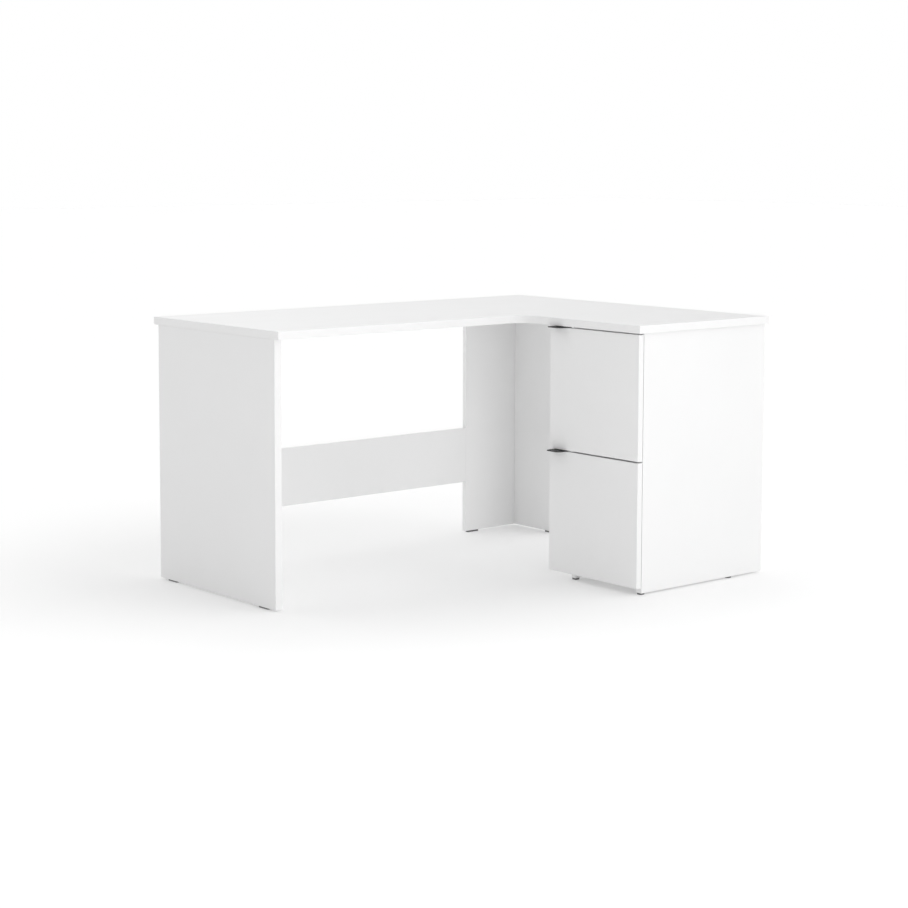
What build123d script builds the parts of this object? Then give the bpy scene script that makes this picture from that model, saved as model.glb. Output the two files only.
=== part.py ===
from build123d import *
from collections import namedtuple
import os

# L-shaped corner desk with two drawers, flat-pack construction, millimetres.
# Origin: middle of the desk's footprint, on the floor.  +Z up.
# The back edge is at +Y, the return runs along the +X edge towards -Y, and the
# drawers in the return open towards -X, into the knee space.

# ---------------------------------------------------------------- driving dimensions
desk_length = 1395            # back edge of the worktop
return_length = 1070          # outer edge of the return
main_depth = 605
return_depth = 526
desk_height = 750
top_thickness = 22
inner_corner_radius = 65
band_thickness = 2            # plastic edge band glued round the top
side_thickness = 22           # left side panel and cabinet end panel
board_thickness = 16          # every other structural board
front_thickness = 18
box_thickness = 12            # drawer box sides and backs
thin_panel = 3                # drawer bottoms and cabinet back
groove_depth = 6
edge_radius = 0.7             # eased edge of every board
band_radius = 1.0

glide_height = 5
side_front_setback = 18       # left side panel behind the top's front edge
side_rear_setback = 24        # boards in front of the wall line
leg_back_reach = 262          # corner leg, from the wall corner along the back
leg_side_reach = 241          # corner leg, from the wall corner along the return
leg_side_setback = 37         # corner leg's side board in from the outer edge
modesty_bottom = 165
modesty_height = 173

cabinet_width = 279           # over the two cabinet sides
cabinet_end_setback = 15      # cabinet end panel in from the end of the return
cabinet_bottom_height = 25
back_setback = 10             # cabinet back in from the rear edges of the sides
rail_width = 80
front_setback = 13            # drawer fronts behind the top's inner edge
front_width = 354
front_gap = 2                 # between a closed front and the cabinet
lowest_front = 20
middle_gap = 4
upper_gap = 5

box_height = 240
box_length = 450
box_rise = 36                 # box bottom above the bottom of its front
bottom_rise = 10              # groove of the drawer bottom above the box's edge
runner_space = 13             # between a box side and the cabinet side
runner_rise = 100             # runner's centre line above the box's lower edge
runner_length = 440
runner_inset = 3              # runner behind the cabinet's front edge
steel = 1.2

handle_projection = 30
handle_length = 55
handle_plate = 2
handle_drop = 28
handle_inset = 12             # from the front's free end
handle_corner = 14

# Fittings: cam locks with bolts, wooden dowels, screws.
cam_radius = 7.5
cam_offset = 34               # cam centre from the joint
cam_extra = 4.5               # cam depth past the bolt's axis
cam_pocket = 3.7              # pocket in a cam lock for its bolt's head
cam_recess = (4, 0.8, 1.5)    # driver recess: reach, half width, depth
bolt_bore = 4
bolt_shank = 3.4
bolt_reach = 30
thread_radius = 2.5
thread_depth = 11
dowel_radius = 4
dowel_in_edge = 18
dowel_in_face = 12
play = 0.05                   # radial play of a fitting in its bore

# ---------------------------------------------------------------- derived places
left_x = -desk_length / 2
wall_x = desk_length / 2
wall_y = return_length / 2
end_y = -return_length / 2
main_front_y = wall_y - main_depth
return_inner_x = wall_x - return_depth
under_top = desk_height - top_thickness

rear_y = wall_y - side_rear_setback
stretcher_y = rear_y - board_thickness
leg_end_x = wall_x - leg_back_reach
leg_outer_x = wall_x - leg_side_setback
leg_inner_x = leg_outer_x - board_thickness
leg_front_y = wall_y - leg_side_reach
side_inner_x = left_x + side_thickness
side_front_y = main_front_y + side_front_setback

front_face_x = return_inner_x + front_setback
front_rear_x = front_face_x + front_thickness
cabinet_front_x = front_rear_x + front_gap
end_outer_y = end_y + cabinet_end_setback
end_inner_y = end_outer_y + side_thickness
inner_outer_y = end_outer_y + cabinet_width
inner_inner_y = inner_outer_y - board_thickness
back_x = wall_x - back_setback - thin_panel
front_height = (under_top - upper_gap - middle_gap - lowest_front) / 2
free_end_y = end_outer_y + front_width

box_right_y = end_inner_y + runner_space
box_left_y = inner_inner_y - runner_space
box_rear_x = front_rear_x + box_length
runner_x = cabinet_front_x + runner_inset
drawers = {"lower": lowest_front, "upper": lowest_front + front_height + middle_gap}

os.makedirs("parts", exist_ok=True)

# ---------------------------------------------------------------- shared helpers
DIRECTIONS = {
    "+X": (Vector(1, 0, 0), (0, 90, 0)),
    "-X": (Vector(-1, 0, 0), (0, -90, 0)),
    "+Y": (Vector(0, 1, 0), (-90, 0, 0)),
    "-Y": (Vector(0, -1, 0), (90, 0, 0)),
    "+Z": (Vector(0, 0, 1), (0, 0, 0)),
    "-Z": (Vector(0, 0, -1), (180, 0, 0)),
}
OPPOSITE = {"+X": "-X", "-X": "+X", "+Y": "-Y", "-Y": "+Y", "+Z": "-Z", "-Z": "+Z"}

# A cam lock sits at centre, on a board's face, sunk in the direction into.  Its bolt
# lies depth under that face and runs out of the board's edge in the direction out.
Cam = namedtuple("Cam", "centre into out depth")
# A dowel's or bolt's point is on the plane where two boards meet, out of the edge.
Dowel = namedtuple("Dowel", "point out")


def moved(point, direction, distance):
    """The point shifted by a distance along one of the six directions."""
    return Vector(*point) + DIRECTIONS[direction][0] * distance


def round_bar(points, direction, radius, length, mode=Mode.ADD):
    """Adds (or cuts) a cylinder that starts at each point and runs along direction."""
    with Locations(*points):
        Cylinder(
            radius,
            length,
            rotation=DIRECTIONS[direction][1],
            align=(Align.CENTER, Align.CENTER, Align.MIN),
            mode=mode,
        )


def bore(points, direction, radius, depth):
    """Cuts a round hole into the current part."""
    round_bar(points, direction, radius, depth, mode=Mode.SUBTRACT)


def block(x_range, y_range, z_range, mode=Mode.ADD):
    """A rectangular block between the given limits."""
    with BuildSketch(Plane.XY.offset(z_range[0])) as base:
        with Locations(((x_range[0] + x_range[1]) / 2, (y_range[0] + y_range[1]) / 2)):
            Rectangle(x_range[1] - x_range[0], y_range[1] - y_range[0])
    return extrude(base.sketch, amount=z_range[1] - z_range[0], mode=mode)


def board(x_range, y_range, z_range):
    """A board with eased edges."""
    blank = block(x_range, y_range, z_range)
    fillet(blank.edges(), edge_radius)


def finish(part, name):
    """Labels a finished piece and writes it to its own file."""
    part.label = name
    export_step(part, f"parts/{name}.step")


def joint_point(cam):
    """Where a cam lock's bolt crosses from its own board into the next."""
    return moved(moved(cam.centre, cam.into, cam.depth), cam.out, cam_offset)


def bore_cams(cams):
    """Holes in the board that holds the cam locks."""
    for cam in cams:
        bore([cam.centre], cam.into, cam_radius, cam.depth + cam_extra)
        bore([joint_point(cam)], OPPOSITE[cam.out], bolt_bore, cam_offset)


def bore_bolts(cams):
    """Holes in the board that the cam bolts screw into."""
    for cam in cams:
        bore([joint_point(cam)], cam.out, thread_radius, thread_depth)


def bore_dowel_edges(dowels):
    """Dowel holes in a board's edge."""
    for dowel in dowels:
        bore([dowel.point], OPPOSITE[dowel.out], dowel_radius + play, dowel_in_edge + 1)


def bore_dowel_faces(dowels):
    """Dowel holes in the board that the edge stands on."""
    for dowel in dowels:
        bore([dowel.point], dowel.out, dowel_radius + play, dowel_in_face + 0.5)


def cam_locks(cams):
    """The cam locks themselves, each with its bolt's pocket and a cross recess."""
    for cam in cams:
        round_bar([cam.centre], cam.into, cam_radius - play, cam.depth + cam_extra - 0.5)
    for cam in cams:
        bore([moved(cam.centre, cam.into, cam.depth)], cam.out, cam_pocket, cam_radius + 1)
        cross_recess(cam.centre, cam.into, *cam_recess)


def cross_recess(point, into, reach, half_width, depth):
    """A cross-shaped driver recess, sunk into a fitting's face."""
    middle = moved(point, into, depth / 2)
    for long_axis in range(3):
        if abs(tuple(DIRECTIONS[into][0])[long_axis]) > 0.5:
            continue
        size = [2 * half_width] * 3
        size[long_axis] = 2 * reach
        for axis in range(3):
            if abs(tuple(DIRECTIONS[into][0])[axis]) > 0.5:
                size[axis] = depth
        with Locations(middle):
            Box(*size, mode=Mode.SUBTRACT)


def cam_bolts(cams):
    """Steel bolts: a thread in the next board and a shank into the cam lock."""
    for cam in cams:
        round_bar([joint_point(cam)], cam.out, thread_radius - play, thread_depth - 1)
        round_bar([joint_point(cam)], OPPOSITE[cam.out], bolt_shank, bolt_reach)


def screws(points, direction, head_radius, head_height, shank_radius, length, above=True):
    """Screws whose heads stand on (or are sunk under) the surface at each point."""
    away = OPPOSITE[direction] if above else direction
    round_bar(points, away, head_radius, head_height)
    round_bar(points, direction, shank_radius, length)
    for point in points:
        outer = moved(point, away, head_height) if above else Vector(*point)
        cross_recess(outer, direction, head_radius * 0.6, 0.4, head_height * 0.5)


# ---------------------------------------------------------------- fittings, by joint
side_mid_x = left_x + side_thickness / 2
stretcher_mid_y = rear_y - board_thickness / 2
end_mid_y = end_outer_y + side_thickness / 2
inner_mid_y = inner_outer_y - board_thickness / 2
leg_mid_x = leg_outer_x - board_thickness / 2
cam_z = under_top - cam_offset
half_board = board_thickness / 2
half_side = side_thickness / 2
dowel_step = 40

top_left_cams = [
    Cam((side_inner_x, y, cam_z), "-X", "+Z", half_side)
    for y in (side_front_y + 90, rear_y - 90)
]
top_back_cams = [
    Cam((x, rear_y, cam_z), "-Y", "+Z", half_board)
    for x in (leg_end_x + 45, leg_inner_x - 45)
]
top_leg_cams = [
    Cam((leg_outer_x, y, cam_z), "-X", "+Z", half_board)
    for y in (leg_front_y + 45, rear_y - 60)
]
cabinet_cam_x = (cabinet_front_x + rail_width + 30, back_x - rail_width - 30)
top_end_cams = [Cam((x, end_inner_y, cam_z), "-Y", "+Z", half_side) for x in cabinet_cam_x]
top_inner_cams = [Cam((x, inner_inner_y, cam_z), "+Y", "+Z", half_board) for x in cabinet_cam_x]
top_cams = top_left_cams + top_back_cams + top_leg_cams + top_end_cams + top_inner_cams

top_left_dowels = [
    Dowel((side_mid_x, y, under_top), "+Z")
    for y in (side_front_y + 90 + dowel_step, rear_y - 90 - dowel_step)
]
top_back_dowels = [Dowel(((leg_end_x + leg_inner_x) / 2, stretcher_mid_y, under_top), "+Z")]
top_leg_dowels = [Dowel((leg_mid_x, (leg_front_y + rear_y) / 2, under_top), "+Z")]
top_end_dowels = [
    Dowel((x, end_mid_y, under_top), "+Z")
    for x in (cabinet_cam_x[0] + dowel_step, cabinet_cam_x[1] - dowel_step)
]
top_inner_dowels = [
    Dowel((x, inner_mid_y, under_top), "+Z")
    for x in (cabinet_cam_x[0] + dowel_step, cabinet_cam_x[1] - dowel_step)
]
top_dowels = (
    top_left_dowels + top_back_dowels + top_leg_dowels + top_end_dowels + top_inner_dowels
)

modesty_fitting_z = (modesty_bottom + 40, modesty_bottom + modesty_height - 40)
modesty_mid_z = modesty_bottom + modesty_height / 2
modesty_left_cams = [
    Cam((side_inner_x + cam_offset, rear_y, z), "-Y", "-X", half_board)
    for z in modesty_fitting_z
]
modesty_right_cams = [
    Cam((leg_end_x - cam_offset, rear_y, z), "-Y", "+X", half_board)
    for z in modesty_fitting_z
]
modesty_left_dowels = [Dowel((side_inner_x, stretcher_mid_y, modesty_mid_z), "-X")]
modesty_right_dowels = [Dowel((leg_end_x, stretcher_mid_y, modesty_mid_z), "+X")]

bottom_cam_x = (cabinet_front_x + 60, back_x - 60)
bottom_mid_z = cabinet_bottom_height + half_board
bottom_end_cams = [
    Cam((x, end_inner_y + cam_offset, cabinet_bottom_height), "+Z", "-Y", half_board)
    for x in bottom_cam_x
]
bottom_inner_cams = [
    Cam((x, inner_inner_y - cam_offset, cabinet_bottom_height), "+Z", "+Y", half_board)
    for x in bottom_cam_x
]
bottom_mid_x = (cabinet_front_x + back_x) / 2
bottom_end_dowels = [Dowel((bottom_mid_x, end_inner_y, bottom_mid_z), "-Y")]
bottom_inner_dowels = [Dowel((bottom_mid_x, inner_inner_y, bottom_mid_z), "+Y")]

rail_z = under_top - board_thickness
rail_starts = {"front": cabinet_front_x, "rear": back_x - rail_width}
rail_end_cams = {
    place: [Cam((x + rail_width / 2, end_inner_y + cam_offset, rail_z), "+Z", "-Y", half_board)]
    for place, x in rail_starts.items()
}
rail_inner_cams = {
    place: [Cam((x + rail_width / 2, inner_inner_y - cam_offset, rail_z), "+Z", "+Y", half_board)]
    for place, x in rail_starts.items()
}

root_cams = (
    top_cams + modesty_left_cams + modesty_right_cams + bottom_end_cams + bottom_inner_cams
)
for place in rail_starts:
    root_cams = root_cams + rail_end_cams[place] + rail_inner_cams[place]
root_dowels = (
    top_dowels + modesty_left_dowels + modesty_right_dowels
    + bottom_end_dowels + bottom_inner_dowels
)

# Connecting screws of the corner leg, driven from the wall side.
leg_screw_points = [(leg_outer_x, stretcher_mid_y, z) for z in (150, 366, 600)]
leg_screw_head = (5, 3.5)
leg_screw_shank = 3.5
leg_screw_thread = (3, 50)

# Runner screws, three to a rail.
runner_screw_x = [runner_x + step for step in (34, 220, 406)]
runner_screw_radius = 1.75
runner_screw_head = (3.4, 1.2)
cabinet_screw_depth = 12
box_screw_depth = 10


def runner_z(front_bottom):
    """Height of a drawer's runners."""
    return front_bottom + box_rise + runner_rise


# ---------------------------------------------------------------- worktop
def top_outline(inset):
    """The worktop's L-shaped outline, drawn in from its edge by inset."""
    reflex = (return_inner_x + inset, main_front_y + inset)
    with BuildSketch(Plane.XY.offset(under_top)) as outline:
        with BuildLine():
            Polyline(
                (left_x + inset, main_front_y + inset),
                (left_x + inset, wall_y - inset),
                (wall_x - inset, wall_y - inset),
                (wall_x - inset, end_y + inset),
                (return_inner_x + inset, end_y + inset),
                reflex,
                close=True,
            )
        make_face()
        corner = outline.vertices().sort_by_distance((*reflex, under_top))[0]
        fillet(corner, inner_corner_radius + inset)
    return outline.sketch


with BuildPart() as desk_top:
    extrude(top_outline(band_thickness), amount=top_thickness)
    bore_bolts(top_cams)
    bore_dowel_faces(top_dowels)
finish(desk_top.part, "desk_top")

with BuildPart() as top_edge_band:
    extrude(top_outline(0), amount=top_thickness)
    rims = top_edge_band.faces().filter_by(Axis.Z)
    fillet(rims.edges(), band_radius)
    extrude(top_outline(band_thickness), amount=top_thickness, mode=Mode.SUBTRACT)
finish(top_edge_band.part, "top_edge_band")

# ---------------------------------------------------------------- standing boards
glide_screw_depth = 16
glide_screw_radius = 1.75
glide_size = (45, 16)
glide_screw_spread = 24
small_glide = 16
long_glides = [
    (side_mid_x, side_front_y + 63, 90),
    (side_mid_x, rear_y - 54, 90),
    (leg_end_x + 34, stretcher_mid_y, 0),
    (leg_mid_x, leg_front_y + 33, 90),
]
small_glides = [
    (x, y)
    for y in (end_mid_y, inner_mid_y)
    for x in (cabinet_front_x + small_glide / 2 + 1, wall_x - 130)
]


def long_glide_screws(glide):
    """The two screw places of a long glide."""
    x, y, turn = glide
    reach = glide_screw_spread / 2
    if turn:
        return [(x, y - reach), (x, y + reach)]
    return [(x - reach, y), (x + reach, y)]


glide_screws_at = [point for glide in long_glides for point in long_glide_screws(glide)]
glide_screws_at = glide_screws_at + small_glides


def bore_glide_screws(places):
    """Pilot holes in a panel's lower edge."""
    bore([(x, y, glide_height) for x, y in places], "+Z", glide_screw_radius, glide_screw_depth)


with BuildPart() as left_side_panel:
    block(
        (left_x, side_inner_x),
        (side_front_y + band_thickness, rear_y),
        (glide_height, under_top),
    )
    bore_cams(top_left_cams)
    bore_dowel_edges(top_left_dowels)
    bore_bolts(modesty_left_cams)
    bore_dowel_faces(modesty_left_dowels)
    bore_glide_screws(long_glide_screws(long_glides[0]) + long_glide_screws(long_glides[1]))
finish(left_side_panel.part, "left_side_panel")

with BuildPart() as left_side_edge_band:
    block(
        (left_x, side_inner_x),
        (side_front_y, side_front_y + band_thickness),
        (glide_height, under_top),
    )
    front_rim = left_side_edge_band.faces().sort_by(Axis.Y)[0]
    fillet(front_rim.edges().filter_by(Axis.Z), band_radius)
finish(left_side_edge_band.part, "left_side_edge_band")

with BuildPart() as modesty_panel:
    board(
        (side_inner_x, leg_end_x),
        (stretcher_y, rear_y),
        (modesty_bottom, modesty_bottom + modesty_height),
    )
    bore_cams(modesty_left_cams + modesty_right_cams)
    bore_dowel_edges(modesty_left_dowels + modesty_right_dowels)
finish(modesty_panel.part, "modesty_panel")

with BuildPart() as corner_leg_back:
    board((leg_end_x, leg_inner_x), (stretcher_y, rear_y), (glide_height, under_top))
    bore_cams(top_back_cams)
    bore_dowel_edges(top_back_dowels)
    bore_bolts(modesty_right_cams)
    bore_dowel_faces(modesty_right_dowels)
    bore(leg_screw_points, "-X", leg_screw_thread[0] + play, leg_screw_thread[1] + 1)
    bore_glide_screws(long_glide_screws(long_glides[2]))
finish(corner_leg_back.part, "corner_leg_back")

with BuildPart() as corner_leg_side:
    board((leg_inner_x, leg_outer_x), (leg_front_y, rear_y), (glide_height, under_top))
    bore_cams(top_leg_cams)
    bore_dowel_edges(top_leg_dowels)
    bore(leg_screw_points, "-X", leg_screw_shank + play, board_thickness)
    bore(leg_screw_points, "-X", leg_screw_head[0] + play, leg_screw_head[1])
    bore_glide_screws(long_glide_screws(long_glides[3]))
finish(corner_leg_side.part, "corner_leg_side")

# ---------------------------------------------------------------- cabinet
back_groove_z = (cabinet_bottom_height, under_top)

with BuildPart() as cabinet_end_panel:
    board((cabinet_front_x, wall_x), (end_outer_y, end_inner_y), (glide_height, under_top))
    bore_cams(top_end_cams)
    bore_dowel_edges(top_end_dowels)
    bore_bolts(bottom_end_cams + rail_end_cams["front"] + rail_end_cams["rear"])
    bore_dowel_faces(bottom_end_dowels)
    for front_bottom in drawers.values():
        bore(
            [(x, end_inner_y, runner_z(front_bottom)) for x in runner_screw_x],
            "-Y",
            runner_screw_radius,
            cabinet_screw_depth,
        )
    block(
        (back_x, back_x + thin_panel),
        (end_inner_y - groove_depth, end_inner_y),
        back_groove_z,
        mode=Mode.SUBTRACT,
    )
    bore_glide_screws(small_glides[:2])
finish(cabinet_end_panel.part, "cabinet_end_panel")

with BuildPart() as cabinet_inner_panel:
    board((cabinet_front_x, wall_x), (inner_inner_y, inner_outer_y), (glide_height, under_top))
    bore_cams(top_inner_cams)
    bore_dowel_edges(top_inner_dowels)
    bore_bolts(bottom_inner_cams + rail_inner_cams["front"] + rail_inner_cams["rear"])
    bore_dowel_faces(bottom_inner_dowels)
    for front_bottom in drawers.values():
        bore(
            [(x, inner_inner_y, runner_z(front_bottom)) for x in runner_screw_x],
            "+Y",
            runner_screw_radius,
            cabinet_screw_depth,
        )
    block(
        (back_x, back_x + thin_panel),
        (inner_inner_y, inner_inner_y + groove_depth),
        back_groove_z,
        mode=Mode.SUBTRACT,
    )
    bore_glide_screws(small_glides[2:])
finish(cabinet_inner_panel.part, "cabinet_inner_panel")

with BuildPart() as cabinet_bottom:
    board(
        (cabinet_front_x, back_x),
        (end_inner_y, inner_inner_y),
        (cabinet_bottom_height, cabinet_bottom_height + board_thickness),
    )
    bore_cams(bottom_end_cams + bottom_inner_cams)
    bore_dowel_edges(bottom_end_dowels + bottom_inner_dowels)
finish(cabinet_bottom.part, "cabinet_bottom")

for place, rail_x in rail_starts.items():
    with BuildPart() as top_rail:
        board((rail_x, rail_x + rail_width), (end_inner_y, inner_inner_y), (rail_z, under_top))
        bore_cams(rail_end_cams[place] + rail_inner_cams[place])
    finish(top_rail.part, f"cabinet_{place}_rail")

with BuildPart() as cabinet_back:
    block(
        (back_x, back_x + thin_panel),
        (end_inner_y - groove_depth, inner_inner_y + groove_depth),
        back_groove_z,
    )
finish(cabinet_back.part, "cabinet_back")

# ---------------------------------------------------------------- glides and fittings
glide_head = (3.2, 1.5)
glide_sink = 2.2


def bore_glides(places):
    """Screw holes through glides, with the head's recess in the underside."""
    bore([(x, y, 0) for x, y in places], "+Z", glide_screw_radius, glide_height)
    bore([(x, y, 0) for x, y in places], "+Z", glide_head[0] + play, glide_sink)


with BuildPart() as panel_glides:
    for x, y, turn in long_glides:
        with BuildSketch(Plane.XY) as pad:
            with Locations((x, y)):
                RectangleRounded(*glide_size, 5, rotation=turn)
        extrude(pad.sketch, amount=glide_height)
    fillet(panel_glides.faces().group_by(Axis.Z)[0].edges(), 1)
    for glide in long_glides:
        bore_glides(long_glide_screws(glide))
finish(panel_glides.part, "panel_glides")

with BuildPart() as cabinet_glides:
    for x, y in small_glides:
        with BuildSketch(Plane.XY) as pad:
            with Locations((x, y)):
                RectangleRounded(small_glide, small_glide, 3)
        extrude(pad.sketch, amount=glide_height)
    fillet(cabinet_glides.faces().group_by(Axis.Z)[0].edges(), 1)
    bore_glides(small_glides)
finish(cabinet_glides.part, "cabinet_glides")

with BuildPart() as glide_screws:
    heads = [(x, y, glide_sink - glide_head[1]) for x, y in glide_screws_at]
    shank = glide_height + glide_screw_depth - glide_sink
    screws(heads, "+Z", *glide_head, glide_screw_radius - play, shank, above=False)
finish(glide_screws.part, "glide_screws")

with BuildPart() as desk_cam_locks:
    cam_locks(root_cams)
finish(desk_cam_locks.part, "desk_cam_locks")

with BuildPart() as desk_cam_bolts:
    cam_bolts(root_cams)
finish(desk_cam_bolts.part, "desk_cam_bolts")

with BuildPart() as desk_dowels:
    for dowel in root_dowels:
        start = moved(dowel.point, OPPOSITE[dowel.out], dowel_in_edge)
        round_bar([start], dowel.out, dowel_radius, dowel_in_edge + dowel_in_face)
finish(desk_dowels.part, "desk_dowels")

with BuildPart() as corner_leg_screws:
    round_bar(leg_screw_points, "-X", leg_screw_head[0], leg_screw_head[1])
    round_bar(leg_screw_points, "-X", leg_screw_shank, board_thickness)
    round_bar(leg_screw_points, "-X", *leg_screw_thread)
    for point in leg_screw_points:
        cross_recess(point, "-X", 2.6, 0.7, 2)
finish(corner_leg_screws.part, "corner_leg_screws")


# ---------------------------------------------------------------- runners
# Each section is measured out from the wall that the runner is fixed to.
Section = namedtuple("Section", "near far half_height web_near")
outer_section = Section(0, 10, 22.5, True)
middle_section = Section(2.8, 11, 17.5, True)
inner_section = Section(5.5, runner_space, 12.5, False)
sides = {"right": (end_inner_y, 1, "-Y", "+Y"), "left": (inner_inner_y, -1, "+Y", "-Y")}


def channel(section, side, height):
    """A steel channel of the given section along a cabinet side."""
    wall, sign, _, _ = sides[side]
    depth = section.far - section.near
    middle = wall + sign * (section.near + section.far) / 2
    opening = sign * steel if section.web_near else -sign * steel
    with BuildSketch(Plane.YZ.offset(runner_x)) as profile:
        with Locations((middle, height)):
            Rectangle(depth, 2 * section.half_height)
        with Locations((middle + opening, height)):
            Rectangle(depth, 2 * (section.half_height - steel), mode=Mode.SUBTRACT)
    extrude(profile.sketch, amount=runner_length)


for level, front_bottom in drawers.items():
    height = runner_z(front_bottom)
    for side, (wall, sign, to_wall, to_box) in sides.items():
        with BuildPart() as outer_rail:
            channel(outer_section, side, height)
            holes = [(x, wall, height) for x in runner_screw_x]
            bore(holes, to_box, runner_screw_radius + play, steel)
        finish(outer_rail.part, f"{level}_{side}_cabinet_rail")

        with BuildPart() as middle_rail:
            channel(middle_section, side, height)
        finish(middle_rail.part, f"{level}_{side}_middle_rail")

        with BuildPart() as drawer_rail:
            channel(inner_section, side, height)
            web = wall + sign * (runner_space - steel)
            holes = [(x, web, height) for x in runner_screw_x]
            bore(holes, to_box, runner_screw_radius + play, steel)
        finish(drawer_rail.part, f"{level}_{side}_drawer_rail")

with BuildPart() as cabinet_rail_screws:
    for front_bottom in drawers.values():
        for wall, sign, to_wall, to_box in sides.values():
            web = wall + sign * steel
            seats = [(x, web, runner_z(front_bottom)) for x in runner_screw_x]
            length = cabinet_screw_depth + steel - 0.5
            screws(seats, to_wall, *runner_screw_head, runner_screw_radius - play, length)
finish(cabinet_rail_screws.part, "cabinet_rail_screws")

# ---------------------------------------------------------------- drawers
box_fitting_rises = (50, 190)
back_screw_head = (4, 2.5)
back_screw_thread = (2, 35)
bottom_screw_head = (3.2, 1.5)
bottom_screw_length = 14
handle_screw_radius = 1.75
handle_screw_head = (3.5, 1.8)
handle_screw_length = 14
half_box = box_thickness / 2
handle_left_y = free_end_y - handle_inset
handle_right_y = handle_left_y - handle_length
box_side_mid = {"right": box_right_y + half_box, "left": box_left_y - half_box}
box_outer = {"right": (box_right_y, "+Y"), "left": (box_left_y, "-Y")}


def box_cams(box_bottom, side):
    """Cam locks that pull a box side against its front."""
    face, into = box_outer[side]
    x = front_rear_x + cam_offset
    return [
        Cam((x, face, box_bottom + rise), into, "-X", half_box) for rise in box_fitting_rises
    ]


def back_screw_points(box_bottom, side):
    """Where the screws enter a box side to hold the box back."""
    face, _ = box_outer[side]
    return [(box_rear_x - half_box, face, box_bottom + rise) for rise in box_fitting_rises]


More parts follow.
